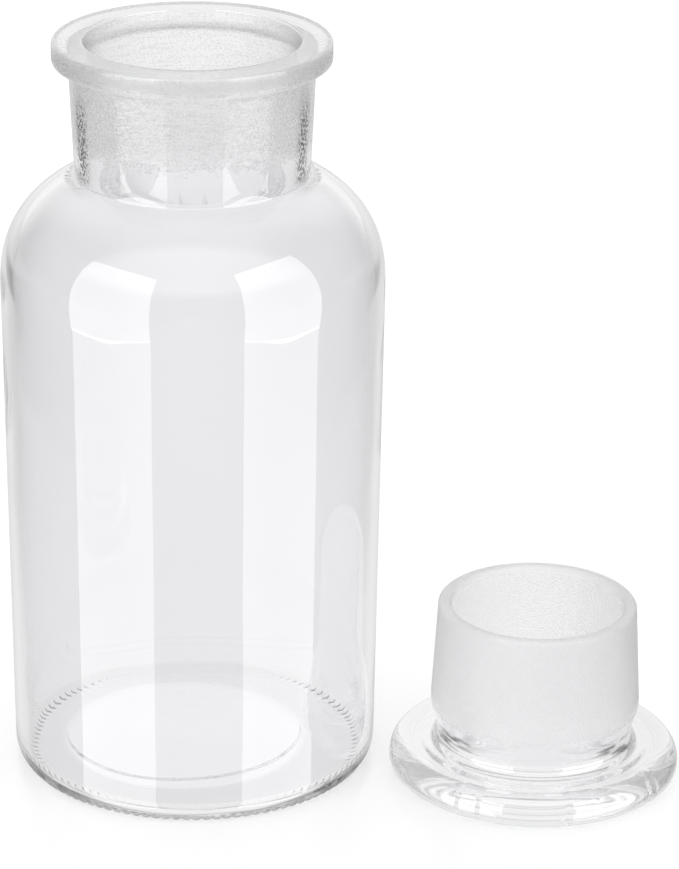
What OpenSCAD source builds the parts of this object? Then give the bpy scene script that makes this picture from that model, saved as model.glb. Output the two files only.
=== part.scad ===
// Wide-mouth glass reagent bottle with a ground-in hollow glass stopper.
// The bottle stands on z = 0 with its axis on the Z axis. The stopper stands upside down beside it,
// on the flat face of its disc, with its hollow plug open upwards.
// Every shape is turned about an axis, so each module is a profile of radius and height.

/* [Bottle] */
// Height from the table to the top of the rim
bottle_h = 167.5; // [150:0.5:190]
// Diameter of the body under the shoulder, its widest place
body_d = 84.3; // [76:0.1:90]
// How much narrower the body is at the heel than under the shoulder
body_draft = 2.6; // [0:0.1:4]
// Thickness of the body wall
wall_t = 2.5; // [1.8:0.1:3.5]
// Height at which the body turns into the shoulder
shoulder_z = 112.7; // [95:0.1:118]
// Fullness of the shoulder curve: 2 is an ellipse, more is squarer
shoulder_fullness = 2.38; // [2:0.02:2.8]

/* [Neck and rim] */
// Outer diameter of the neck where it meets the shoulder
neck_base_d = 51.2; // [46:0.1:54]
// Outer diameter of the neck just under the rim flange
neck_top_d = 53.4; // [48:0.1:56]
// Outer diameter of the rim flange
rim_d = 60.5; // [57:0.1:66]
// Depth of the rim flange, top face to neck
rim_depth = 5.3; // [4.5:0.1:9]
// Height of the upright band on the edge of the flange
rim_band = 3.0; // [1.5:0.1:3.2]
// Width of the mouth across the edge of the rim face
mouth_d = 48.1; // [44:0.1:50]

/* [Ground joint] */
// Radius lost for each millimetre of depth, the same on socket and plug
ground_taper = 0.056; // [0.04:0.002:0.08]
// Depth of the ground socket in the neck
socket_depth = 22.5; // [18:0.5:24]
// Length of the ground part of the plug
plug_ground = 22; // [15:0.5:24]
// Diameter of the ground plug at its lip
plug_lip_d = 44.3; // [40:0.1:45]

/* [Base] */
// Height of the hollow pushed up under the base
push_up = 2.6; // [1:0.1:4]
// Radius of the flat middle of that hollow
push_up_r = 6; // [4:0.5:24]
// Radius of the faint round step on the floor inside
circle_r = 26.8; // [18:0.1:32]
// Thickness of the glass in the middle of the base
base_t = 2.8; // [2:0.1:4]
// Number of grip grooves on the bearing ring
knurls = 108; // [24:1:120]
// Depth of each grip groove
knurl_depth = 0.35; // [0.2:0.05:0.5]

/* [Stopper] */
// Height of the whole stopper
stopper_h = 40.6; // [34:0.1:46]
// Diameter of the stopper's disc
disc_d = 65.1; // [60:0.1:72]
// Thickness of the disc at its rounded rim
disc_t = 7.6; // [6:0.1:9]
// Diameter of the clear waist between disc and plug
waist_d = 43.8; // [40:0.1:45]
// Wall of the hollow plug at its lip
plug_wall = 2.9; // [2:0.1:3.5]
// Thickness of the glass between the hollow and the flat face
floor_t = 6.4; // [5:0.1:8]

/* [Placement] */
// Stopper axis, to the right of the bottle axis
stopper_x = 76.8; // [76:0.1:120]
// Stopper axis, towards the front of the bottle axis
stopper_front = 10.7; // [0:0.1:30]

/* [Hidden] */
$fn = 180;

body_r = body_d / 2;
heel_r = body_r - body_draft / 2;
neck_base_r = neck_base_d / 2;
neck_top_r = neck_top_d / 2;
rim_r = rim_d / 2;
mouth_r = mouth_d / 2;
heel_h = 5.0;                 // height of the rounded heel
foot_r = heel_r - 2.8;        // outer edge of the bearing ring
foot_in_r = foot_r - 2.8;     // inner edge of the bearing ring
rim_edge = 0.9;               // rounding on the outer edge of the rim face
mouth_edge = 0.55;            // rounding on the edge of the mouth
socket_top_r = mouth_r - mouth_edge;
socket_end_r = socket_top_r - ground_taper * (socket_depth - mouth_edge);
shoulder_in_r = body_r - wall_t;
base_in_r = heel_r - wall_t;
corner_r = 2.4;               // inside corner between base and wall
floor_end_r = base_in_r - corner_r;
circle_step = 0.45;           // height of the round step on the floor inside
circle_edge = 0.4;            // half of its width
axis_r = 0.6;                 // where the shoulder curve would end beside the axis

disc_r = disc_d / 2;
waist_r = waist_d / 2;
disc_mid = 3.2;               // height of the widest part of the disc
disc_roll = 4.2;              // width of the rounded rim
crease_r = disc_r - 5.9;      // crease between the rounded rim and the disc's inner slope
crease_z = disc_t - 0.4;
waist_fillet = 2.4;
waist_z = disc_t + 0.1 + waist_fillet;
face_r = disc_r - 3.1;        // edge of the flat face
dish_r = 20;                  // shallow dish in the middle of the flat face
dish = 0.1;
lip_r = plug_lip_d / 2;
lip_edge = 0.9;
plug_top_z = stopper_h - lip_edge;
ground_z = plug_top_z - plug_ground;
plug_big_r = lip_r + ground_taper * plug_ground;
hollow_r = lip_r - plug_wall;
hollow_end_r = hollow_r - 0.9;
hollow_corner = 5;

// Points on an arc or ellipse about (cx, cz), from angle a0 to a1
function arc(cx, cz, rx, rz, a0, a1, n = 8) = [
    for (i = [0:n])
        let (a = a0 + (a1 - a0) * i / n)
        [cx + rx * cos(a), cz + rz * sin(a)]
];

// Points on a superellipse quarter from its side (angle 0) towards its top
function bulge(cx, cz, rx, rz, power, a0, a1, n = 16) = [
    for (i = [0:n])
        let (a = a0 + (a1 - a0) * i / n)
        [cx + rx * pow(cos(a), 2 / power), cz + rz * pow(sin(a), 2 / power)]
];

// Smooth rise from 0 to 1, level at both ends
function smooth(t) = t * t * (3 - 2 * t);

// Smooth S-shaped step from (r0, z0) to (r1, z1), level at both ends
function step_curve(r0, z0, r1, z1, n = 8) = [
    for (i = [0:n])
        let (t = i / n)
        [r0 + (r1 - r0) * t, z0 + (z1 - z0) * smooth(t)]
];

// Points on a curve from a to c that leaves and arrives along the lines to b
function bend(a, b, c, n = 10) = [
    for (i = [0:n])
        let (t = i / n)
        (1 - t) * (1 - t) * a + 2 * t * (1 - t) * b + t * t * c
];

// Height of the shoulder curve above shoulder_z at radius r
function shoulder_rise(r, rx, rise) =
    let (c = pow((r - axis_r) / rx, shoulder_fullness / 2))
    rise * pow(sqrt(1 - c * c), 2 / shoulder_fullness);
// Angle along the shoulder curve at which it has radius r
function shoulder_angle(r, rx) = acos(pow((r - axis_r) / rx, shoulder_fullness / 2));

neck_z = bottle_h - 30;       // where the neck's outside meets the shoulder
out_rx = body_r - axis_r;
in_rx = shoulder_in_r - axis_r;
out_rise = (neck_z - shoulder_z) / shoulder_rise(neck_base_r, out_rx, 1);
in_rise = out_rise - wall_t;
throat_end_r = socket_end_r + 4.2;  // where the throat's flare meets the shoulder
throat_end_z = shoulder_z + shoulder_rise(throat_end_r, in_rx, in_rise);

// Point of the floor inside at radius r, raised by up over the plain push-up
function floor_point(r, up) =
    [r, base_t + push_up * smooth(min(1, (floor_end_r - r) / (floor_end_r - push_up_r))) + up];

// Outside of the bottle, from the middle of the base up to the mouth
function bottle_outside() = concat(
    [[0, push_up]],
    step_curve(push_up_r, push_up, foot_in_r, 0, 12),
    [[foot_r, 0]],
    arc(foot_r, heel_h, heel_r - foot_r, -heel_h, 90, 0, 10),
    bulge(axis_r, shoulder_z, out_rx, out_rise, shoulder_fullness,
          0, shoulder_angle(neck_base_r, out_rx), 28),
    bulge(neck_top_r, bottle_h - rim_edge - rim_band, rim_r - neck_top_r,
          -(rim_depth - rim_edge - rim_band), 2.8, 90, 0, 12),
    arc(rim_r - rim_edge, bottle_h - rim_edge, rim_edge, rim_edge, 0, 90, 5),
    arc(mouth_r, bottle_h - mouth_edge, mouth_edge, mouth_edge, 90, 180, 4)
);

// Inside of the bottle, from the mouth down to the middle of the floor
function bottle_inside() = concat(
    bend([socket_end_r, bottle_h - socket_depth], [socket_end_r + 0.3, throat_end_z + 3],
         [throat_end_r, throat_end_z]),
    bulge(axis_r, shoulder_z, in_rx, in_rise, shoulder_fullness,
          shoulder_angle(throat_end_r + 1, in_rx), 0, 24),
    arc(floor_end_r, base_t + corner_r, corner_r, corner_r, 0, -90, 8),
    [for (i = [1:5]) floor_point(floor_end_r + (circle_r + circle_edge - floor_end_r) * i / 5, 0)],
    [for (i = [1:4]) floor_point(circle_r + circle_edge * (1 - i / 2), circle_step * smooth(i / 4))],
    [for (i = [1:6]) floor_point(circle_r - circle_edge + (push_up_r + circle_edge - circle_r) * i / 6,
                                 circle_step)],
    [[0, base_t + push_up + circle_step]]
);

// The bottle: one piece of clear glass, with a ground socket in the neck
module bottle() {
    color([0.86, 0.90, 0.90, 0.35])
    difference() {
        rotate_extrude() polygon(concat(bottle_outside(), bottle_inside()));
        grip_grooves();
    }
}

// Fine radial grooves across the bearing ring, all but its inner edge
module grip_grooves() {
    for (i = [0:knurls - 1])
        rotate([0, 0, i * 360 / knurls])
        translate([foot_in_r + 0.6, 0, knurl_depth - 0.8])
        rotate([0, 90, 0])
        cylinder(r = 0.8, h = 5, $fn = 24);
}

// Outside of the stopper as it stands upside down, from the dish up to the plug's lip
function stopper_outside() = concat(
    [[0, dish]],
    step_curve(dish_r - 3, dish, dish_r, 0, 6),
    [[face_r, 0]],
    bulge(face_r, disc_mid, disc_r - face_r, -disc_mid, 2.1, 90, 0, 8),
    bulge(disc_r - disc_roll, disc_mid, disc_roll, disc_t - disc_mid, 2, 0, 90, 10),
    step_curve(disc_r - disc_roll - 0.5, disc_t - 0.02, crease_r + 0.15, crease_z, 5),
    step_curve(crease_r - 0.15, crease_z, waist_r + waist_fillet + 0.2, disc_t + 0.1, 6),
    arc(waist_r + waist_fillet, waist_z, waist_fillet, waist_fillet, 270, 180, 8),
    [for (i = [1:8]) [waist_r + (plug_big_r - waist_r) * (1 - cos(i * 180 / 8)) / 2,
                      waist_z + (ground_z - waist_z) * i / 8]],
    arc(lip_r - lip_edge, plug_top_z, lip_edge, lip_edge, 0, 90, 5)
);

// Hollow of the plug, from the lip down to the middle of its floor
function stopper_inside() = concat(
    arc(hollow_r + 0.8, stopper_h - 0.8, 0.8, 0.8, 90, 180, 4),
    arc(hollow_end_r - hollow_corner, floor_t + hollow_corner, hollow_corner, hollow_corner, 0, -90, 8),
    [[0, floor_t]]
);

// The stopper: pressed glass disc, clear waist and hollow ground plug in one piece
module stopper() {
    color([0.86, 0.90, 0.90, 0.35])
    translate([stopper_x, -stopper_front, 0])
    union() {
        rotate_extrude() polygon(concat(stopper_outside(), stopper_inside()));
        mould_pad(-120, 10);
        mould_pad(-73, 13);
        mould_pad(-38, 5);
    }
}

// Low pad across the disc's rounded rim, left by a joint of the mould
module mould_pad(at, sweep) {
    pad = 0.3;
    rotate([0, 0, at - sweep / 2])
    rotate_extrude(angle = sweep)
    polygon(concat(
        [[disc_r - disc_roll, disc_mid]],
        [[disc_r - 1, 1.6]],
        bulge(disc_r - disc_roll, disc_mid, disc_roll + pad, disc_t - disc_mid + pad, 2, 0, 90, 8)
    ));
}

bottle();
stopper();
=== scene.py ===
"""A glass reagent bottle and its ground glass stopper, standing on a pale studio floor.

Each piece of glass is one closed mesh, turned from its outside and inside profile. Lengths are in metres.
"""
import math

import bpy
import numpy as np
from mathutils import Matrix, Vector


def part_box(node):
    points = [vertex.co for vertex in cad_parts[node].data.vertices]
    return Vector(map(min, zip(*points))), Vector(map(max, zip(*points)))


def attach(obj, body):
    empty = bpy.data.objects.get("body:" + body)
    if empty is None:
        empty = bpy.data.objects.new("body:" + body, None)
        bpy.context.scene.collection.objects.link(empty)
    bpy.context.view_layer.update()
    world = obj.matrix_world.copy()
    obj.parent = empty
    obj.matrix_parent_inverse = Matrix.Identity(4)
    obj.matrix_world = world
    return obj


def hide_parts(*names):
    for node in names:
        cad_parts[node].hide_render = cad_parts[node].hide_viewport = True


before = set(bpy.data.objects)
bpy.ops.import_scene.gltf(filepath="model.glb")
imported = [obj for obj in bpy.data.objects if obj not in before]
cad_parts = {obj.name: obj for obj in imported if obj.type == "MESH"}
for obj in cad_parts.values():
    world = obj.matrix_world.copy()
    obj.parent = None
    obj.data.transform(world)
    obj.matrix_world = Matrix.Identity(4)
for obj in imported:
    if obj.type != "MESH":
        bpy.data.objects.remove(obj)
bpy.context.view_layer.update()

# ---------------------------------------------------------------- dimensions of the bottle
BOTTLE_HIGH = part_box("bottle")[1]
BOTTLE_HEIGHT = BOTTLE_HIGH.z
BODY_R = BOTTLE_HIGH.x           # under the shoulder, the widest place
HEEL_R = BODY_R - 0.0013         # at the top of the rounded heel
WALL = 0.0025

SHOULDER_Z = BOTTLE_HEIGHT - 0.0548
SHOULDER_FULLNESS = 2.38         # power of the shoulder's superellipse: 2 is an ellipse, more is squarer
AXIS_R = 0.0006                  # where the shoulder's curve would end beside the axis
NECK_BASE_R = 0.0256
NECK_TOP_R = 0.0267
NECK_Z = BOTTLE_HEIGHT - 0.030   # where the neck rises from the shoulder

RIM_R = 0.03025
RIM_DEPTH = 0.0053               # of the whole flange, from the rim's face to the neck
RIM_BAND = 0.0030                # height of the upright band round the flange
RIM_EDGE = 0.0009
FLANGE_Z = BOTTLE_HEIGHT - RIM_DEPTH
FLANGE_FULLNESS = 2.8            # power of the superellipse under the flange
BAND_HIGH_Z = BOTTLE_HEIGHT - RIM_EDGE
BAND_LOW_Z = BAND_HIGH_Z - RIM_BAND

MOUTH_R = 0.02405
MOUTH_EDGE = 0.00055
TAPER = 0.056                    # radius lost for each metre of depth, in socket and plug
SOCKET_DEPTH = 0.0225
SOCKET_Z = BOTTLE_HEIGHT - SOCKET_DEPTH
SOCKET_TOP_R = MOUTH_R - MOUTH_EDGE
SOCKET_END_R = SOCKET_TOP_R - TAPER * (SOCKET_DEPTH - MOUTH_EDGE)
THROAT_END_R = SOCKET_END_R + 0.0042
THROAT_TURN_R = SOCKET_END_R + 0.0003
THROAT_TURN_UP = 0.003           # height over the throat's end at which it turns outwards

HEEL_H = 0.0050
FOOT_R = HEEL_R - 0.0028         # outer edge of the bearing ring
FOOT_IN_R = FOOT_R - 0.0028      # inner edge of the bearing ring
PUSH_UP = 0.0026
PUSH_UP_R = 0.006
BASE_T = 0.0028
CORNER_R = 0.0024                # of the corner inside, between floor and wall
FLOOR_END_R = HEEL_R - WALL - CORNER_R
CIRCLE_R = 0.0268                # of the round step on the floor inside
CIRCLE_STEP = 0.00045
CIRCLE_EDGE = 0.0004
CIRCLE_SHIFT = 0.0030            # how far that step lies off the bottle's axis
CIRCLE_TOWARDS = math.radians(147)

KNURLS = 108
KNURL_DEPTH = 0.00030
KNURL_R = 0.0008                 # radius of the round tool that a grip groove matches
GROOVES_IN_R = FOOT_R - 0.0014
GROOVES_UP = 0.0018              # how far up the heel the grip grooves fade out
GROOVES_WORN = math.radians(43)  # reach, either side of the back, of the faint grooves there
WORN_AWAY = 0.85                 # share of their depth that is missing there

SEAM_AZIMUTHS = (math.radians(-83.5), math.radians(96.5))
SEAM_HEIGHT = 0.00007
SEAM_SIGMA = math.radians(0.35)
SEAM_LOW_Z = 0.006
SEAM_CROWDING = 0.7              # how strongly columns are drawn to a seam
SEAM_CROWDED = math.radians(4)   # and from how far
WAVES_OUTSIDE = 0.00002
WAVES_INSIDE = 0.00012
WAVES_ON_FLOOR = 0.00006
WAVES_FADE = 0.01                # distance over which waves fade out
WAVES_IN_R = 0.004
FLOOR_TOP_Z = 0.01               # all of the inside's floor lies below it
FLOOR_WAVES_Z = 0.012            # where the floor's waves end, up the wall
FLOOR_WAVES_FADE = 0.004
AXIS_FADE = 0.005

GROUND_FADE = 0.006              # height over which a ground face turns into clear glass
NECK_FADE_LOW = 0.002
NECK_FADE_HIGH = 0.011

# ---------------------------------------------------------------- dimensions of the stopper
STOPPER_LOW, STOPPER_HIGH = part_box("stopper")
STOPPER_X = (STOPPER_LOW.x + STOPPER_HIGH.x) / 2
STOPPER_Y = -0.0107              # in front of the bottle's axis
STOPPER_HEIGHT = STOPPER_HIGH.z

DISC_R = 0.03255
DISC_T = 0.0076
DISC_MID = 0.0032                # height of the disc's widest place
DISC_ROLL = 0.0042               # width of the disc's rounding above it
DISC_FULLNESS = 2.1              # power of the superellipse below it
FACE_R = DISC_R - 0.0031
DISH_R = 0.020
DISH_EDGE = 0.003
DISH = 0.0001
CREASE_R = DISC_R - 0.0059
CREASE_Z = DISC_T - 0.0004
CREASE_HALF = 0.00015            # half the width of the crease's flat bottom
WAIST_R = 0.0219
WAIST_FILLET = 0.0024
WAIST_START_Z = DISC_T + 0.0001
WAIST_Z = WAIST_START_Z + WAIST_FILLET
PADS = ((-120, 10), (-73, 13), (-38, 5))  # azimuth and sweep of each mould pad, in degrees
PAD_HEIGHT = 0.0003
PAD_LOW_Z = 0.0012
PAD_EDGE = 0.5                   # degrees over which a pad's side rises
STOPPER_WAVES = 0.004            # share of the hollow's radius
STOPPER_WAVES_Z = 0.03           # from there up the waves are full

LIP_R = 0.02215
LIP_EDGE = 0.0009
PLUG_TOP_Z = STOPPER_HEIGHT - LIP_EDGE
PLUG_GROUND = 0.022              # length of the ground taper
GROUND_Z = PLUG_TOP_Z - PLUG_GROUND
PLUG_BIG_R = LIP_R + TAPER * PLUG_GROUND
HOLLOW_R = LIP_R - 0.0029
HOLLOW_END_R = HOLLOW_R - 0.0009
HOLLOW_EDGE = 0.0008
HOLLOW_CORNER = 0.005
FLOOR_T = 0.0064                 # glass between the hollow and the disc's flat face
LIP_GROUND = 0.0014              # how far the ground face reaches over the lip into the hollow
LIP_FADE = 0.0006
GROUND_UNDER = 0.0015            # how far it reaches under the taper
WAIST_CLEAR = 0.0035             # clear glass between the waist's zone and the taper
WAIST_FADE = 0.0015

# ---------------------------------------------------------------- fineness of the meshes
SEGMENTS = 288                   # columns round a piece
KNURL_SEGMENTS = 3 * SEGMENTS    # columns round the grooved ring, 8 to each groove
BOTTLE_RING_GAP = 0.0022         # greatest distance between rings
STOPPER_RING_GAP = 0.0016
BOTTLE_SOFTENING = 0.0006        # how far from a sharp corner its rounding starts
INSIDE_SOFTENING = 0.0008
STOPPER_SOFTENING = 0.0005
HAIR = 0.0001                    # a hair's breadth, beside a sudden change
MARGIN = 0.001                   # a small distance from a neighbouring feature
ON_AXIS = 1e-7                   # a profile's point at a smaller radius is a single vertex
SAME_POINT = 2e-6                # points closer than this are one

# ---------------------------------------------------------------- studio
GLASS_IOR = 1.5
GLASS_BOUNCES = 160              # light circles inside the glass many times
OUTLINE_FACING = (0.68, 0.80)    # where the painted shade on the glass's edges grows lighter again, towards its outline
SIDE_STRETCH = (0.010, 0.034)    # distances to either side between which the painted shade on edges reaches full strength
ROOM_LIGHT = 1.12
ROOM_IN_FRONT = 0.38             # what reflections see there, as a share of the backdrop
ROOM_AT_SIDES = 0.12
ROOM_BELOW = 0.66
ROOM_OVERHEAD = 1.6              # a bright ceiling in front, for reflections
BACKDROP_OVERHEAD = 0.65         # what is seen through the glass, as shares of the room's light
BACKDROP_IN_FRONT = 0.75
BACKDROP_LEFT = 0.5
BACKDROP_RIGHT = 0.65

FLOOR_HALF = 6.0
FLOOR_DROP = 0.00005             # keeps the floor clear of the glass that stands on it
FLOOR_GREY = 0.55
FLOOR_LIGHT = 0.425
FLOOR_SEEN_THROUGH = 0.97        # the table's light where it is seen through glass
FLOOR_IN_CIRCLE = 0.09           # painted pool of light on the table, inside the base's round step
# painted shade on the table round that pool, under the foot
FLOOR_OUT_OF_CIRCLE = -0.05
FLOOR_DIMMER = 0.17              # painted shade further out, to the left and the right
FLOOR_LEFT = 0.35                # painted shade far out on either side, standing in for dark cards
FLOOR_RIGHT = 0.25
FLOOR_NEAR_EDGE = 0.35           # painted light: a bright strip in front
DIMMER_STRETCH = (0.06, 0.17)    # distances to either side between which the shade grows
LEFT_SHADE_STRETCH = (-0.26, -0.21)
RIGHT_SHADE_STRETCH = (0.22, 0.27)
SIDE_SHADE_END_STRETCH = (0.45, 0.65)
NEAR_EDGE_STRETCH = (-0.30, -0.16)

SOFTBOX_DISTANCE = 2.0
SOFTBOX_BOTTOM = -0.65
SOFTBOX_RADIANCE = 3.8
SOFTBOXES = (("left", -49.5, 25.5, 1.87), ("right", 56, 25, 2.14))  # azimuth, half width, height of the top
PANEL_DISTANCE = 0.4
PANEL_BOTTOM = -0.4
PANEL_TOP = -0.022
PANEL_RADIANCE = 2.7
PANELS = (("left", -47.2, 24.4), ("right", 53.8, 23.8))

CAMERA_PLACE = (0.01799, -0.80496, 0.40028)
CAMERA_DOWN = 0.371              # radians below the horizon
CAMERA_ROLL = 0.004
CAMERA_LENS = 161.65
CAMERA_SHIFT = (0.0744, -0.0528)


# ---------------------------------------------------------------- profiles
def arc(cx, cz, rx, rz, start, end, steps=14):
    """Points on an arc or ellipse about (cx, cz), between two angles in degrees."""
    angles = np.radians(np.linspace(start, end, steps + 1))
    return np.column_stack([cx + rx * np.cos(angles), cz + rz * np.sin(angles)])


def bulge(cx, cz, rx, rz, power, start, end, steps=24):
    """Points on a superellipse quarter from its side (0 degrees) towards its top (90 degrees)."""
    angles = np.radians(np.linspace(start, end, steps + 1))
    across = np.abs(np.cos(angles)) ** (2 / power)
    up = np.abs(np.sin(angles)) ** (2 / power)
    return np.column_stack([cx + rx * across, cz + rz * up])


def step_curve(r0, z0, r1, z1, steps=10):
    """Smooth S-shaped step from (r0, z0) to (r1, z1), level at both ends."""
    t = np.linspace(0, 1, steps + 1)
    s = t * t * (3 - 2 * t)
    return np.column_stack([r0 + (r1 - r0) * t, z0 + (z1 - z0) * s])


def bend(a, b, c, steps=12):
    """Points on a curve from a to c that leaves and arrives along the lines to b."""
    t = np.linspace(0, 1, steps + 1)[:, None]
    return (1 - t) ** 2 * np.array(a) + 2 * t * (1 - t) * np.array(b) + t * t * np.array(c)


def join(*stretches):
    """One polyline from several, without repeated points."""
    points = np.vstack([np.atleast_2d(s) for s in stretches])
    far = np.linalg.norm(np.diff(points, axis=0), axis=1) > SAME_POINT
    return points[np.concatenate([[True], far])]


def soften(points, reach, least_turn=16.0):
    """Rounds every corner sharper than least_turn degrees, starting and ending reach away from it."""
    out = [points[0]]
    for before, here, after in zip(points, points[1:], points[2:]):
        back, ahead = before - here, after - here
        back_length, ahead_length = np.linalg.norm(back), np.linalg.norm(ahead)
        cosine = np.clip(-(back @ ahead) / (back_length * ahead_length), -1, 1)
        if math.degrees(math.acos(cosine)) < least_turn:
            out.append(here)
            continue
        start = here + back / back_length * min(reach, 0.45 * back_length)
        end = here + ahead / ahead_length * min(reach, 0.45 * ahead_length)
        out.extend(bend(start, here, end, 6))
    out.append(points[-1])
    return np.array(out)


def densify(points, longest):
    """Splits every stretch that is longer than longest."""
    out = [points[:1]]
    for a, b in zip(points, points[1:]):
        count = max(1, math.ceil(np.linalg.norm(b - a) / longest))
        out.append(a + (b - a) * np.linspace(0, 1, count + 1)[1:, None])
    return np.vstack(out)


def push_up(radius, reach):
    """Height of the pushed-up middle of the base over its rim, which is at the radius reach."""
    t = np.clip((reach - radius) / (reach - PUSH_UP_R), 0, 1)
    return PUSH_UP * t * t * (3 - 2 * t)


def shoulder_rise(radius, width, rise):
    """Height of a shoulder curve, of this width and rise, over its start at this radius."""
    c = ((radius - AXIS_R) / width) ** (SHOULDER_FULLNESS / 2)
    return rise * math.sqrt(1 - c * c) ** (2 / SHOULDER_FULLNESS)


def shoulder_angle(radius, width):
    """Angle in degrees at which a shoulder curve of this width reaches this radius."""
    return math.degrees(math.acos(((radius - AXIS_R) / width) ** (SHOULDER_FULLNESS / 2)))


OUT_WIDTH = BODY_R - AXIS_R
IN_WIDTH = BODY_R - WALL - AXIS_R
OUT_RISE = (NECK_Z - SHOULDER_Z) / shoulder_rise(NECK_BASE_R, OUT_WIDTH, 1)
IN_RISE = OUT_RISE - WALL
THROAT_END_Z = SHOULDER_Z + shoulder_rise(THROAT_END_R, IN_WIDTH, IN_RISE)


def bottle_outside():
    """From the middle of the base up to the mouth."""
    points = join(
        [0, PUSH_UP],
        step_curve(PUSH_UP_R, PUSH_UP, FOOT_IN_R, 0, 16),
        [GROOVES_IN_R - HAIR, 0],
        [GROOVES_IN_R + 2 * HAIR, 0],
        [FOOT_R, 0],
        bulge(FOOT_R, HEEL_H, HEEL_R - FOOT_R, -HEEL_H, 2, 90, 0, 18),
        bulge(AXIS_R, SHOULDER_Z, OUT_WIDTH, OUT_RISE, SHOULDER_FULLNESS, 0,
              shoulder_angle(NECK_BASE_R, OUT_WIDTH), 40),
        bulge(NECK_TOP_R, BAND_LOW_Z, RIM_R - NECK_TOP_R, FLANGE_Z - BAND_LOW_Z, FLANGE_FULLNESS, 90, 0, 20),
        arc(RIM_R - RIM_EDGE, BAND_HIGH_Z, RIM_EDGE, RIM_EDGE, 0, 90, 8),
        arc(MOUTH_R, BOTTLE_HEIGHT - MOUTH_EDGE, MOUTH_EDGE, MOUTH_EDGE, 90, 180, 8),
    )
    return densify(soften(points, BOTTLE_SOFTENING), BOTTLE_RING_GAP)


def bottle_inside():
    """From the mouth down to the middle of the floor."""
    floor_r = np.concatenate([
        np.linspace(FLOOR_END_R, CIRCLE_R + CIRCLE_EDGE, 9)[1:-1],
        np.linspace(CIRCLE_R + CIRCLE_EDGE, CIRCLE_R - CIRCLE_EDGE, 11),
        np.linspace(CIRCLE_R - CIRCLE_EDGE, 0, 14)[1:],
    ])
    on_circle = np.clip((CIRCLE_R + CIRCLE_EDGE - floor_r) / (2 * CIRCLE_EDGE), 0, 1)
    floor_z = BASE_T + push_up(floor_r, FLOOR_END_R) + CIRCLE_STEP * on_circle ** 2 * (3 - 2 * on_circle)
    points = join(
        [SOCKET_TOP_R, BOTTLE_HEIGHT - MOUTH_EDGE],
        bend([SOCKET_END_R, SOCKET_Z], [THROAT_TURN_R, THROAT_END_Z + THROAT_TURN_UP],
             [THROAT_END_R, THROAT_END_Z]),
        bulge(AXIS_R, SHOULDER_Z, IN_WIDTH, IN_RISE, SHOULDER_FULLNESS,
              shoulder_angle(THROAT_END_R + MARGIN, IN_WIDTH), 0, 32),
        arc(FLOOR_END_R, BASE_T + CORNER_R, CORNER_R, CORNER_R, 0, -90),
        np.column_stack([floor_r, floor_z]),
    )
    return densify(soften(points, INSIDE_SOFTENING), BOTTLE_RING_GAP)


def stopper_outside():
    """From the dish in the flat face up to the plug's lip."""
    t = np.linspace(0, 1, 12)[1:]
    swell = np.column_stack([WAIST_R + (PLUG_BIG_R - WAIST_R) * (1 - np.cos(t * math.pi)) / 2,
                             WAIST_Z + (GROUND_Z - WAIST_Z) * t])
    roll_end_r = DISC_R - DISC_ROLL
    fillet_r = WAIST_R + WAIST_FILLET
    points = join(
        [0, DISH],
        step_curve(DISH_R - DISH_EDGE, DISH, DISH_R, 0),
        [FACE_R, 0],
        bulge(FACE_R, DISC_MID, DISC_R - FACE_R, -DISC_MID, DISC_FULLNESS, 90, 0, 14),
        bulge(roll_end_r, DISC_MID, DISC_ROLL, DISC_T - DISC_MID, 2, 0, 90, 18),
        step_curve(roll_end_r - 5 * HAIR, DISC_T - 0.2 * HAIR, CREASE_R + CREASE_HALF, CREASE_Z, 8),
        step_curve(CREASE_R - CREASE_HALF, CREASE_Z, fillet_r + 2 * HAIR, WAIST_START_Z, 8),
        arc(fillet_r, WAIST_Z, WAIST_FILLET, WAIST_FILLET, 270, 180),
        swell,
        arc(LIP_R - LIP_EDGE, PLUG_TOP_Z, LIP_EDGE, LIP_EDGE, 0, 90, 8),
    )
    return densify(soften(points, STOPPER_SOFTENING), STOPPER_RING_GAP)


def stopper_inside():
    """From the lip down to the middle of the hollow's floor."""
    points = join(
        arc(HOLLOW_R + HOLLOW_EDGE, STOPPER_HEIGHT - HOLLOW_EDGE, HOLLOW_EDGE, HOLLOW_EDGE, 90, 180, 8),
        arc(HOLLOW_END_R - HOLLOW_CORNER, FLOOR_T + HOLLOW_CORNER, HOLLOW_CORNER, HOLLOW_CORNER, 0, -90),
        [0, FLOOR_T],
    )
    return densify(soften(points, STOPPER_SOFTENING), STOPPER_RING_GAP)


# ---------------------------------------------------------------- reliefs
def ripple(angle, height, seed):
    """A slow, smooth unevenness between about -1 and 1, the same on every run."""
    waves = [(2, 17, 0.35), (3, 31, 0.3), (5, 23, 0.2), (7, 57, 0.15)]  # turns, waves per metre, weight
    total = 0
    for k, (turns, per_metre, weight) in enumerate(waves):
        phase = seed * 1.7 + k * 2.1
        round_it = np.sin(turns * angle + phase + 1.3 * np.sin(per_metre * height * 2 + phase))
        total = total + weight * round_it * np.cos(per_metre * height * 6 + 0.8 * phase)
    return total


def angle_from(angle, centre):
    """Signed angle from centre, by the shorter way round."""
    return (angle - centre + math.pi) % (2 * math.pi) - math.pi


def fade(value, over):
    """0 for a value of 0 or less, rising to 1 at over."""
    return np.clip(value / over, 0, 1)


def crowd_seams(angle):
    """Moves columns closer together near the mould seams, so that a fine seam has enough of them."""
    moved = angle.copy()
    for seam in SEAM_AZIMUTHS:
        gap = angle_from(angle, seam)
        moved -= SEAM_CROWDING * gap * np.exp(-(gap / SEAM_CROWDED) ** 2)
    return moved


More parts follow.
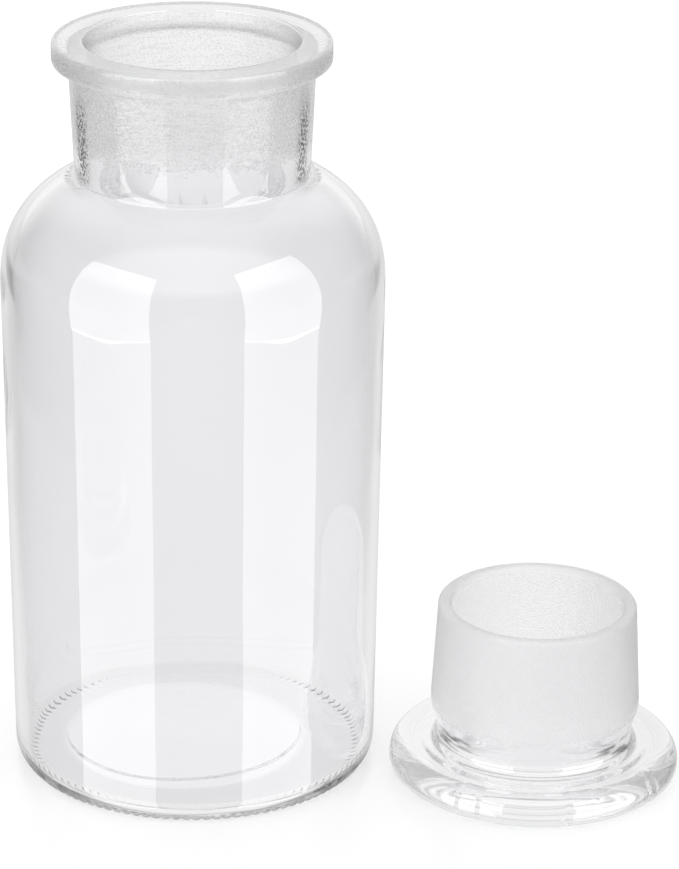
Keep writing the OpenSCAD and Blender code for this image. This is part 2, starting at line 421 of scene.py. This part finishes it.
def grip_grooves(angle, radius, height):
    """Depth of the grip grooves: round across, fading out up the heel, and faint at the back."""
    pitch = 2 * math.pi / KNURLS
    across = (((angle + pitch / 2) % pitch) - pitch / 2) * radius
    depth = np.maximum(KNURL_DEPTH - KNURL_R + np.sqrt(np.maximum(KNURL_R ** 2 - across ** 2, 0)), 0)
    depth = depth * (radius > GROOVES_IN_R) * fade(GROOVES_UP - height, 0.5 * GROOVES_UP)
    worn = np.exp(-(angle_from(angle, math.pi / 2) / GROOVES_WORN) ** 4)
    return depth * (1 - WORN_AWAY * worn)


def bottle_relief(angle, radius, height, outside):
    """Unevenness of a blown bottle, its mould seams, its grip grooves and the shift of its inner circle."""
    if outside:
        wall = (height > HEEL_H) & (height < FLANGE_Z)
        radius = radius - wall * WAVES_OUTSIDE * (1 + ripple(angle, height, 1))
        seam = sum(np.exp(-(angle_from(angle, s) / SEAM_SIGMA) ** 2 / 2) for s in SEAM_AZIMUTHS)
        seamed = (height > SEAM_LOW_Z) & (height < FLANGE_Z - MARGIN) & (radius > NECK_BASE_R - MARGIN)
        radius = radius + seamed * seam * SEAM_HEIGHT
        groove = grip_grooves(angle, radius, height)
        inwards = fade(height, HEEL_H / 1.5)
        height = height + groove * (1 - inwards)
        radius = radius - groove * inwards
    else:
        in_body = fade(THROAT_END_Z - height, WAVES_FADE) * fade(radius - WAVES_IN_R, WAVES_FADE)
        radius = radius - in_body * WAVES_INSIDE * (1 + ripple(angle, height, 2))
        in_middle = fade(FLOOR_END_R - radius, FLOOR_END_R - CIRCLE_R - CIRCLE_EDGE)
        in_middle = in_middle * (height < FLOOR_TOP_Z) * fade(radius, AXIS_FADE)
        moved = radius + in_middle * CIRCLE_SHIFT * np.cos(angle - CIRCLE_TOWARDS)
        height = height + (push_up(moved, FLOOR_END_R) - push_up(radius, FLOOR_END_R)) * (in_middle > 0)
        radius = moved
        on_floor = fade(FLOOR_WAVES_Z - height, FLOOR_WAVES_FADE) * fade(radius, WAVES_FADE)
        height = height + on_floor * WAVES_ON_FLOOR * ripple(angle, radius * 3, 3)
    return radius, height


def stopper_relief(angle, radius, height, outside):
    """Mould pads across the disc's rounded rim, and the slow unevenness of pressed glass."""
    if outside:
        on_rim = (radius > DISC_R - DISC_ROLL) & (height < WAIST_START_Z) & (height > PAD_LOW_Z)
        share = np.zeros_like(radius)
        for at, sweep in PADS:
            gap = np.abs(np.degrees(angle_from(angle, math.radians(at))))
            share = np.maximum(share, fade(sweep / 2 - gap, PAD_EDGE))
        outwards = fade(radius - (DISC_R - DISC_ROLL), DISC_ROLL)
        upwards = fade(height - DISC_MID, DISC_T - DISC_MID)
        radius = radius + on_rim * share * PAD_HEIGHT * outwards
        height = height + on_rim * share * PAD_HEIGHT * upwards
    else:
        radius = radius * (1 + STOPPER_WAVES * ripple(angle, height, 5) * fade(height, STOPPER_WAVES_Z))
    return radius, height


# ---------------------------------------------------------------- meshes
def ring_counts(points, outside_count):
    """Columns in each ring: three times as many on the outside where the grip grooves are."""
    outside = np.arange(len(points)) < outside_count
    grooved = (points[:, 0] > GROOVES_IN_R - 2 * HAIR) & (points[:, 1] < HEEL_H)
    return np.where(outside & grooved, KNURL_SEGMENTS, SEGMENTS)


def turned(name, outside, inside, relief, counts, centre, crowd=None):
    """A closed mesh turned about a vertical axis, from its outside's middle to its inside's middle.

    Neighbouring rings have the same number of columns, or one has three times as many as the other. Also
    gives the number of vertices in each ring.
    """
    profile = np.vstack([outside, inside])
    lengths = np.concatenate([[0], np.cumsum(np.linalg.norm(np.diff(profile, axis=0), axis=1))])
    sizes = np.where(profile[:, 0] < ON_AXIS, 1, counts)
    starts = np.concatenate([[0], np.cumsum(sizes)])
    vertices = []
    for index, (radius, height) in enumerate(profile):
        if sizes[index] == 1:
            vertices.append((centre[0], centre[1], height))
            continue
        angle = np.arange(counts[index]) * 2 * math.pi / counts[index]
        if crowd:
            angle = crowd(angle)
        r, z = relief(angle, np.full_like(angle, radius), np.full_like(angle, height), index < len(outside))
        vertices.extend(zip(centre[0] + r * np.cos(angle), centre[1] + r * np.sin(angle), z))
    faces, uvs = [], []

    def corner(ring, column):
        """Vertex number and UV of a ring's column; the last column is the first again."""
        if sizes[ring] == 1:
            return starts[ring], (0.5, lengths[ring])
        return starts[ring] + column % counts[ring], (column / counts[ring], lengths[ring])

    def add(*corners):
        """One face with its UVs."""
        faces.append([c[0] for c in corners])
        uvs.extend(c[1] for c in corners)

    for low in range(len(profile) - 1):
        high = low + 1
        if sizes[low] == 1:
            for c in range(counts[high]):
                add(corner(low, 0), corner(high, c), corner(high, c + 1))
        elif sizes[high] == 1:
            for c in range(counts[low]):
                add(corner(low, c), corner(high, 0), corner(low, c + 1))
        elif counts[low] == counts[high]:
            for c in range(counts[low]):
                add(corner(low, c), corner(high, c), corner(high, c + 1), corner(low, c + 1))
        elif counts[low] < counts[high]:
            for c in range(counts[low]):
                add(corner(low, c), corner(high, 3 * c), corner(high, 3 * c + 1))
                add(corner(low, c), corner(high, 3 * c + 1), corner(high, 3 * c + 2), corner(low, c + 1))
                add(corner(low, c + 1), corner(high, 3 * c + 2), corner(high, 3 * c + 3))
        else:
            for c in range(counts[high]):
                add(corner(high, c), corner(low, 3 * c + 1), corner(low, 3 * c))
                add(corner(high, c), corner(high, c + 1), corner(low, 3 * c + 2), corner(low, 3 * c + 1))
                add(corner(high, c + 1), corner(low, 3 * c + 3), corner(low, 3 * c + 2))
    mesh = bpy.data.meshes.new(name)
    mesh.from_pydata(vertices, [], [f[::-1] for f in faces])
    layer = mesh.uv_layers.new(name="turned")
    flipped, at = [], 0
    for face in faces:
        flipped.extend(uvs[at:at + len(face)][::-1])
        at += len(face)
    layer.data.foreach_set("uv", np.array(flipped, np.float32).ravel())
    mesh.shade_smooth()
    mesh.update()
    piece = bpy.data.objects.new(name, mesh)
    bpy.context.scene.collection.objects.link(piece)
    return piece, sizes


def mark_zone(piece, sizes, name, amounts, material):
    """Stores how far each ring lies inside a zone, and gives the zone's faces its material."""
    values = np.repeat(amounts, sizes)
    attribute = piece.data.attributes.new(name, "FLOAT", "POINT")
    attribute.data.foreach_set("value", values.astype(np.float32))
    piece.data.materials.append(material)
    for face in piece.data.polygons:
        if max(values[v] for v in face.vertices) > 0.0:
            face.material_index = len(piece.data.materials) - 1


# ---------------------------------------------------------------- materials
def new_material(name):
    """A material, its nodes and links, and its Principled shader."""
    material = bpy.data.materials.new(name)
    material.use_nodes = True
    nodes, links = material.node_tree.nodes, material.node_tree.links
    return material, nodes, links, nodes["Principled BSDF"]


def noise(nodes, links, coordinates, scale, detail=2.0, stretch=(1, 1, 1)):
    """Noise between 0 and 1, finer with a greater scale."""
    mapping = nodes.new("ShaderNodeMapping")
    mapping.inputs["Scale"].default_value = stretch
    texture = nodes.new("ShaderNodeTexNoise")
    texture.inputs["Scale"].default_value = scale
    texture.inputs["Detail"].default_value = detail
    links.new(coordinates, mapping.inputs["Vector"])
    links.new(mapping.outputs["Vector"], texture.inputs["Vector"])
    return texture.outputs["Fac"]


def spread(nodes, links, value, low, high, to_low, to_high):
    """Goes smoothly from to_low, where the value is low or less, to to_high, where it is high or more."""
    node = nodes.new("ShaderNodeMapRange")
    node.interpolation_type = "SMOOTHSTEP"
    for socket, number in zip(("From Min", "From Max", "To Min", "To Max"), (low, high, to_low, to_high)):
        node.inputs[socket].default_value = number
    links.new(value, node.inputs["Value"])
    return node.outputs["Result"]


def maths(nodes, links, operation, a, b=0.0):
    """A sum, product or the like of two numbers or sockets."""
    node = nodes.new("ShaderNodeMath")
    node.operation = operation
    for socket, value in zip(node.inputs, (a, b)):
        if isinstance(value, (int, float)):
            socket.default_value = value
        else:
            links.new(value, socket)
    return node.outputs["Value"]


def bump(nodes, links, shader, height, strength, distance):
    """Gives the shader a fine relief."""
    node = nodes.new("ShaderNodeBump")
    node.inputs["Strength"].default_value = strength
    node.inputs["Distance"].default_value = distance
    links.new(height, node.inputs["Height"])
    links.new(node.outputs["Normal"], shader.inputs["Normal"])


def tint(nodes, links, shader, value, first, second):
    """Gives the shader a colour between the first, for a value of 0, and the second, for 1."""
    node = nodes.new("ShaderNodeMix")
    node.data_type = "RGBA"
    node.inputs["A"].default_value = (*first, 1)
    node.inputs["B"].default_value = (*second, 1)
    links.new(value, node.inputs["Factor"])
    links.new(node.outputs["Result"], shader.inputs["Base Color"])


def new_glass(name):
    """A clear glass material, the object's own coordinates in it, and its nodes."""
    material, nodes, links, shader = new_material(name)
    place = nodes.new("ShaderNodeTexCoord").outputs["Object"]
    shader.inputs["Transmission Weight"].default_value = 1.0
    shader.inputs["Roughness"].default_value = 0.0
    shader.inputs["IOR"].default_value = GLASS_IOR
    return material, nodes, links, shader, place


def zone_amount(nodes, links, name):
    """How far a point lies inside the zone that mark_zone stored under this name."""
    amount = nodes.new("ShaderNodeAttribute")
    amount.attribute_name = name
    return amount.outputs["Fac"]


def turning_away(nodes):
    """0 where the glass faces the view, 1 at its outline."""
    weight = nodes.new("ShaderNodeLayerWeight")
    weight.inputs["Blend"].default_value = 0.5
    return weight.outputs["Facing"]


def clear_glass(name):
    """Soda glass with the faint swirls of blown or pressed glass."""
    material, nodes, links, shader, place = new_glass(name)
    swirl = noise(nodes, links, place, 22, 1.0, (1, 1, 0.6))
    tint(nodes, links, shader, swirl, (0.915, 0.915, 0.925), (0.940, 0.940, 0.948))
    bump(nodes, links, shader, swirl, 0.35, 0.0004)
    return material


def ground_glass_painted_shade(name, grain, scratches, line_share, contrast, ragged, darkness):
    """The same glass ground matt: fine grain, scratches round the taper, and an uneven edge to clear glass.

    grain and scratches are scales, and line_share is the scratches' share of the relief. Painted shade
    darkens the pits by contrast and glass that turns away by darkness, and ragged is how uneven the zone's
    edge is.
    """
    material, nodes, links, shader, place = new_glass(name)
    amount = zone_amount(nodes, links, "ground")
    patches = maths(nodes, links, "SUBTRACT", noise(nodes, links, place, 900, 5.0), 0.5)
    uneven = maths(nodes, links, "ADD", amount, maths(nodes, links, "MULTIPLY", patches, ragged))
    cover = spread(nodes, links, uneven, 0.3, 0.7, 0.0, 1.0)
    fine = noise(nodes, links, place, grain, 3.0)
    lines = noise(nodes, links, place, 1, 2.0, (150, 150, scratches))
    height = maths(nodes, links, "ADD", maths(nodes, links, "MULTIPLY", fine, 1 - line_share),
                   maths(nodes, links, "MULTIPLY", lines, line_share))
    roughness = spread(nodes, links, fine, 0.3, 0.7, 0.30, 0.48)
    links.new(maths(nodes, links, "MULTIPLY", cover, roughness), shader.inputs["Roughness"])
    # painted shade where the glass turns away from the view
    grazing = spread(nodes, links, turning_away(nodes), 0.4, 0.95, 0.0, darkness)
    grazing = maths(nodes, links, "MULTIPLY", grazing, spread(nodes, links, amount, 0.7, 1.0, 0.0, 1.0))
    # painted shade in the pits of the grain
    pits = spread(nodes, links, height, 0.36, 0.58, contrast, 0.0)
    shade = maths(nodes, links, "MULTIPLY", maths(nodes, links, "ADD", pits, grazing), cover)
    tint(nodes, links, shader, shade, (0.96, 0.96, 0.966), (0.25, 0.25, 0.255))
    relief = maths(nodes, links, "MULTIPLY", maths(nodes, links, "SUBTRACT", height, 0.5), cover)
    bump(nodes, links, shader, relief, 0.8, 0.0003)
    return material


def edge_shade(nodes, links, place, facing, start, full, darkness, at_outline, scale, least,
               streaks=(1, 1, 1), in_front=1.0):
    """Painted shade, speckled, on glass that turns away from the view, from the facing start on to full.

    At the very outline the share at_outline of it is left, between the speckles the share least, and on the
    object's front and back the share in_front. scale and streaks are the speckles' fineness and stretch.
    """
    dark = maths(nodes, links, "MULTIPLY", spread(nodes, links, facing, start, full, 0.0, darkness),
                 spread(nodes, links, facing, *OUTLINE_FACING, 1.0, at_outline))
    at = nodes.new("ShaderNodeSeparateXYZ")
    links.new(place, at.inputs["Vector"])
    sideways = maths(nodes, links, "ABSOLUTE", at.outputs["X"])
    dark = maths(nodes, links, "MULTIPLY", dark, spread(nodes, links, sideways, *SIDE_STRETCH, in_front, 1.0))
    speckles = spread(nodes, links, noise(nodes, links, place, scale, 2.0, streaks), 0.45, 0.55, 1.0, least)
    return maths(nodes, links, "MULTIPLY", dark, speckles)


def satin_glass_painted_shade(name, roughest=0.0, grain=300, darkness=0.0, edge=None, satin_above=None):
    """The same glass with a satin or smooth face and painted shade, both fading out towards its zone's edges.

    edge holds the settings of edge_shade, for speckled painted shade where the glass turns away. Below the
    height satin_above, where that is given, the face is smooth.
    """
    material, nodes, links, shader, place = new_glass(name)
    amount = zone_amount(nodes, links, name)
    fine = noise(nodes, links, place, grain, 2.0)
    cover = spread(nodes, links, amount, 0.1, 0.9, 0.0, 1.0)
    facing = turning_away(nodes)
    # painted shade: darker by darkness all over the zone, and more where the glass turns away
    shade = spread(nodes, links, facing, 0.2, 0.9, darkness, 2.6 * darkness)
    if edge:
        shade = maths(nodes, links, "ADD", shade, edge_shade(nodes, links, place, facing, **edge))
    shade = maths(nodes, links, "MULTIPLY", cover, shade)
    tint(nodes, links, shader, shade, (0.94, 0.94, 0.947), (0.03, 0.03, 0.031))
    if roughest:
        satin = cover
        if satin_above:
            at = nodes.new("ShaderNodeSeparateXYZ")
            links.new(place, at.inputs["Vector"])
            above = spread(nodes, links, at.outputs["Z"], satin_above, satin_above + 2 * MARGIN, 0.0, 1.0)
            satin = maths(nodes, links, "MULTIPLY", above, spread(nodes, links, amount, 0.0, 0.25, 0.0, 1.0))
        roughness = spread(nodes, links, fine, 0.3, 0.7, 0.8 * roughest, roughest)
        links.new(maths(nodes, links, "MULTIPLY", satin, roughness), shader.inputs["Roughness"])
        relief = maths(nodes, links, "MULTIPLY", maths(nodes, links, "SUBTRACT", fine, 0.5), satin)
        bump(nodes, links, shader, relief, 0.3, 0.0002)
    return material


# ---------------------------------------------------------------- the bottle and the stopper
def within(value, low, high, over):
    """0 outside low and high, rising to 1 over a distance inside them."""
    return fade(np.minimum(value - low, high - value), over)


def make_bottle():
    """Clear glass, ground inside the neck, satin on the rim, and painted shade on rim, neck and heel."""
    outside, inside = bottle_outside(), bottle_inside()
    profile = np.vstack([outside, inside])
    counts = ring_counts(profile, len(outside))
    piece, sizes = turned("bottle_glass", outside, inside, bottle_relief, counts, (0, 0), crowd_seams)
    piece.data.materials.append(clear_glass("clear_glass"))
    is_inside = np.arange(len(profile)) >= len(outside)
    radius, height = profile[:, 0], profile[:, 1]

    in_socket = np.where(is_inside, fade(height - SOCKET_Z + GROUND_FADE / 2, GROUND_FADE), 0.0)
    mark_zone(piece, sizes, "ground", in_socket,
              ground_glass_painted_shade("ground_socket_glass_painted_shade", 2400, 2600, 0.3, 0.42, 1.3, 0.75))

    on_band = within(height, BAND_LOW_Z - 2 * HAIR, BAND_HIGH_Z + 2 * HAIR, 4 * HAIR)
    on_band = np.where(is_inside | (radius < RIM_R - RIM_EDGE), 0.0, on_band)
    # painted shade on the satin band, more where it turns away
    mark_zone(piece, sizes, "satin_band_painted_shade", on_band, satin_glass_painted_shade("satin_band_painted_shade", 0.34, 2200, 0.12))

    on_rim = within(radius, MOUTH_R - 2 * HAIR, RIM_R - RIM_EDGE + 2 * HAIR, 4 * HAIR)
    on_rim = np.where(is_inside | (height < BOTTLE_HEIGHT - HAIR), 0.0, on_rim)
    # painted shade on the satin rim, more where it turns away
    mark_zone(piece, sizes, "satin_rim_painted_shade", on_rim, satin_glass_painted_shade("satin_rim_painted_shade", 0.09, 1500, 0.06))

    on_neck = np.minimum(fade(height - NECK_Z, NECK_FADE_LOW), fade(FLANGE_Z - height, NECK_FADE_HIGH))
    on_neck = np.where(is_inside | (height > FLANGE_Z), 0.0, on_neck)
    # painted shade, speckled, where the neck turns away
    neck_painted_shade = dict(start=0.50, full=0.60, darkness=0.92, at_outline=0.25, scale=1600, least=0.1)
    mark_zone(piece, sizes, "satin_neck_painted_shade", on_neck,
              satin_glass_painted_shade("satin_neck_painted_shade", 0.15, 600, 0.012, neck_painted_shade, SOCKET_Z + MARGIN))

    on_heel = fade(0.9 * HEEL_H - height, 0.35 * HEEL_H)
    on_heel = np.where(is_inside | (radius < FOOT_R - 2 * HAIR), 0.0, on_heel)
    # painted shade, speckled, where the heel turns away, weaker at front and back
    heel_painted_shade = dict(start=0.28, full=0.50, darkness=1.0, at_outline=1.0, scale=300, least=0.8,
                     in_front=0.55)
    mark_zone(piece, sizes, "heel", on_heel, satin_glass_painted_shade("heel", edge=heel_painted_shade))

    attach(piece, "bottle_body")
    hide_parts("bottle")


def make_stopper():
    """Clear glass, ground on the plug and its lip, and painted shade where the plug and the waist turn away.
    """
    outside, inside = stopper_outside(), stopper_inside()
    profile = np.vstack([outside, inside])
    counts = np.full(len(profile), SEGMENTS)
    centre = (STOPPER_X, STOPPER_Y)
    piece, sizes = turned("stopper_glass", outside, inside, stopper_relief, counts, centre)
    piece.data.materials.append(clear_glass("stopper_clear_glass"))
    is_inside = np.arange(len(profile)) >= len(outside)
    radius, height = profile[:, 0], profile[:, 1]

    on_lip = fade(height - STOPPER_HEIGHT + LIP_GROUND, LIP_FADE)
    on_taper = fade(height - GROUND_Z + GROUND_UNDER + GROUND_FADE / 2, GROUND_FADE)
    mark_zone(piece, sizes, "ground", np.where(is_inside, on_lip, on_taper),
              ground_glass_painted_shade("ground_plug_glass_painted_shade", 3400, 2600, 0.0, 0.06, 0.35, 0.4))

    on_waist = within(height, DISC_T + 4 * HAIR, GROUND_Z - WAIST_CLEAR, WAIST_FADE)
    on_waist = np.where(is_inside | (radius > WAIST_R + WAIST_FILLET), 0.0, on_waist)
    # painted shade, in streaks, where the waist turns away
    waist_painted_shade = dict(start=0.30, full=0.52, darkness=0.95, at_outline=0.7, scale=420, least=0.15,
                      streaks=(0.35, 0.35, 2))
    mark_zone(piece, sizes, "waist", on_waist, satin_glass_painted_shade("waist", edge=waist_painted_shade))

    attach(piece, "stopper_body")
    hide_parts("stopper")


# ---------------------------------------------------------------- floor, lights and camera
def floor_seen_through_glass(nodes, links):
    """Strength of the table's glow for rays that come through the glass: even, with soft painted shades and
    painted light.
    """
    position = nodes.new("ShaderNodeNewGeometry").outputs["Position"]
    place = nodes.new("ShaderNodeSeparateXYZ")
    links.new(position, place.inputs["Vector"])
    x, y = place.outputs["X"], place.outputs["Y"]
    # painted shade on the table, far out to either side and dimmer further out
    painted_side_shade = maths(nodes, links, "ADD", spread(nodes, links, x, *LEFT_SHADE_STRETCH, FLOOR_LEFT, 0.0),
                  spread(nodes, links, x, *RIGHT_SHADE_STRETCH, 0.0, FLOOR_RIGHT))
    painted_side_shade = maths(nodes, links, "MULTIPLY", painted_side_shade, spread(nodes, links, y, *SIDE_SHADE_END_STRETCH, 1.0, 0.0))
    outwards = maths(nodes, links, "ABSOLUTE", x)
    dimmer = spread(nodes, links, outwards, *DIMMER_STRETCH, 0.0, FLOOR_DIMMER)
    shade = maths(nodes, links, "ADD", painted_side_shade, dimmer)

    # painted pool of light under the base's round step, with painted shade round it
    from_circle = nodes.new("ShaderNodeVectorMath")
    from_circle.operation = "DISTANCE"
    from_circle.inputs[1].default_value = (CIRCLE_SHIFT * math.cos(CIRCLE_TOWARDS),
                                           CIRCLE_SHIFT * math.sin(CIRCLE_TOWARDS), 0)
    links.new(position, from_circle.inputs[0])
    distance = from_circle.outputs["Value"]
    painted_circle_light = spread(nodes, links, distance, CIRCLE_R - MARGIN, CIRCLE_R + MARGIN,
                      FLOOR_IN_CIRCLE, FLOOR_OUT_OF_CIRCLE)
    under_bottle = spread(nodes, links, distance, HEEL_R, BODY_R, 1.0, 0.0)
    painted_circle_light = maths(nodes, links, "MULTIPLY", painted_circle_light, under_bottle)

    light = maths(nodes, links, "ADD", painted_circle_light, FLOOR_SEEN_THROUGH)
    light = maths(nodes, links, "SUBTRACT", light, shade)
    # painted light: a bright strip on the table in front
    near_edge = spread(nodes, links, y, *NEAR_EDGE_STRETCH, FLOOR_NEAR_EDGE, 0.0)
    return maths(nodes, links, "ADD", light, near_edge)


def make_floor():
    """A matt white floor with a faint gloss. Through the glass it is seen as a glowing table with painted
    shades and light.
    """
    half = FLOOR_HALF
    mesh = bpy.data.meshes.new("studio_floor")
    corners = [(-half, -half, 0), (half, -half, 0), (half, half, 0), (-half, half, 0)]
    mesh.from_pydata(corners, [], [(0, 1, 2, 3)])
    floor = bpy.data.objects.new("studio_floor", mesh)
    floor.location.z = -FLOOR_DROP
    bpy.context.scene.collection.objects.link(floor)
    material, nodes, links, shader = new_material("studio_floor")
    shader.inputs["Base Color"].default_value = (FLOOR_GREY, FLOOR_GREY, FLOOR_GREY, 1)
    shader.inputs["Roughness"].default_value = 0.07
    shader.inputs["IOR"].default_value = 1.35
    shader.inputs["Emission Color"].default_value = (1, 1, 1, 1)
    shader.inputs["Emission Strength"].default_value = FLOOR_LIGHT
    glow = nodes.new("ShaderNodeEmission")
    glow.inputs["Color"].default_value = (1, 1, 1, 1)
    links.new(floor_seen_through_glass(nodes, links), glow.inputs["Strength"])
    path = nodes.new("ShaderNodeLightPath")
    mix = nodes.new("ShaderNodeMixShader")
    links.new(path.outputs["Is Camera Ray"], mix.inputs["Fac"])
    links.new(glow.outputs["Emission"], mix.inputs[1])
    links.new(shader.outputs["BSDF"], mix.inputs[2])
    links.new(mix.outputs["Shader"], nodes["Material Output"].inputs["Surface"])
    mesh.materials.append(material)
    floor.visible_glossy = False
    floor.visible_diffuse = False


def make_world():
    """Soft white light; reflections see a dimmer room in front, and a white backdrop behind."""
    world = bpy.data.worlds.new("studio")
    bpy.context.scene.world = world
    world.use_nodes = True
    nodes, links = world.node_tree.nodes, world.node_tree.links
    background = nodes["Background"]
    background.inputs["Color"].default_value = (1, 1, 1, 1)
    world.cycles.sampling_method = "NONE"
    path = nodes.new("ShaderNodeLightPath")
    direction = nodes.new("ShaderNodeSeparateXYZ")
    links.new(nodes.new("ShaderNodeTexCoord").outputs["Generated"], direction.inputs["Vector"])

    def by_direction(axis, low, high, at_low, at_high):
        """A share that depends on one component, from -1 to 1, of a ray's direction."""
        return spread(nodes, links, direction.outputs[axis], low, high, at_low, at_high)

    def product(a, b):
        return maths(nodes, links, "MULTIPLY", a, b)

    def choose(flag, yes, no):
        """One strength for rays with the flag, another for those without."""
        mix = nodes.new("ShaderNodeMix")
        links.new(path.outputs[flag], mix.inputs["Factor"])
        links.new(yes, mix.inputs["B"])
        if isinstance(no, float):
            mix.inputs["A"].default_value = no
        else:
            links.new(no, mix.inputs["A"])
        return mix.outputs["Result"]

    side = maths(nodes, links, "ABSOLUTE", direction.outputs["X"])
    reflected = product(by_direction("Y", -0.2, 0.45, ROOM_IN_FRONT, 1.0),
                        spread(nodes, links, side, 0.45, 0.75, 1.0, ROOM_AT_SIDES))
    reflected = product(reflected, by_direction("Z", -0.2, 0.0, ROOM_BELOW, 1.0))
    ceiling = product(by_direction("Z", 0.3, 0.5, 0.0, ROOM_OVERHEAD),
                      by_direction("Y", -0.35, -0.1, 1.0, 0.0))
    reflected = maths(nodes, links, "ADD", reflected, ceiling)

    seen_through = product(by_direction("Z", 0.35, 0.75, 1.0, BACKDROP_OVERHEAD),
                           by_direction("Y", -0.7, 0.1, BACKDROP_IN_FRONT, 1.0))
    seen_through = product(seen_through, product(by_direction("X", -0.8, -0.55, BACKDROP_LEFT, 1.0),
                                                 by_direction("X", 0.55, 0.8, 1.0, BACKDROP_RIGHT)))

    strength = choose("Is Glossy Ray", reflected, ROOM_LIGHT)
    strength = choose("Is Transmission Ray", seen_through, strength)
    links.new(strength, background.inputs["Strength"])


def make_panel(name, azimuth, half_width, distance, bottom, top, radiance):
    """An upright soft panel that only reflections see. Angles are in degrees, the azimuth from the front."""
    data = bpy.data.lights.new(name, "AREA")
    data.shape = "RECTANGLE"
    data.size = 2 * distance * math.tan(math.radians(half_width))
    data.size_y = top - bottom
    data.energy = radiance * math.pi * data.size * data.size_y
    panel = bpy.data.objects.new(name, data)
    turn = math.radians(azimuth)
    panel.location = (distance * math.sin(turn), -distance * math.cos(turn), (top + bottom) / 2)
    panel.rotation_euler = (math.radians(90), 0, turn)
    panel.visible_camera = False
    panel.visible_diffuse = False
    panel.visible_transmission = False
    bpy.context.scene.collection.objects.link(panel)


def make_lights():
    """Tall softboxes light the shoulder's highlights, and low panels the stripes below them."""
    for name, azimuth, half_width, top in SOFTBOXES:
        make_panel("softbox_" + name, azimuth, half_width, SOFTBOX_DISTANCE, SOFTBOX_BOTTOM, top,
                   SOFTBOX_RADIANCE)
    for name, azimuth, half_width in PANELS:
        make_panel("panel_" + name, azimuth, half_width, PANEL_DISTANCE, PANEL_BOTTOM, PANEL_TOP,
                   PANEL_RADIANCE)


def make_camera():
    """Looks down at the pair from in front, through a long lens."""
    data = bpy.data.cameras.new("camera")
    data.sensor_width = 36
    data.lens = CAMERA_LENS
    data.shift_x, data.shift_y = CAMERA_SHIFT
    data.clip_start = 0.01
    camera = bpy.data.objects.new("camera", data)
    camera.location = CAMERA_PLACE
    pitch = Matrix.Rotation(math.pi / 2 - CAMERA_DOWN, 3, "X")
    roll = Matrix.Rotation(CAMERA_ROLL, 3, "Z")
    camera.rotation_euler = (pitch @ roll).to_euler()
    bpy.context.scene.collection.objects.link(camera)
    bpy.context.scene.camera = camera


def set_view():
    """Plain tones, and enough bounces for light to come out of the glass."""
    scene = bpy.context.scene
    scene.view_settings.view_transform = "Standard"
    scene.view_settings.look = "None"
    scene.cycles.max_bounces = GLASS_BOUNCES
    scene.cycles.transmission_bounces = GLASS_BOUNCES
    scene.cycles.glossy_bounces = GLASS_BOUNCES
    scene.cycles.diffuse_bounces = 3
    scene.cycles.blur_glossy = 0.0


make_bottle()
make_stopper()
make_floor()
make_world()
make_lights()
make_camera()
set_view()
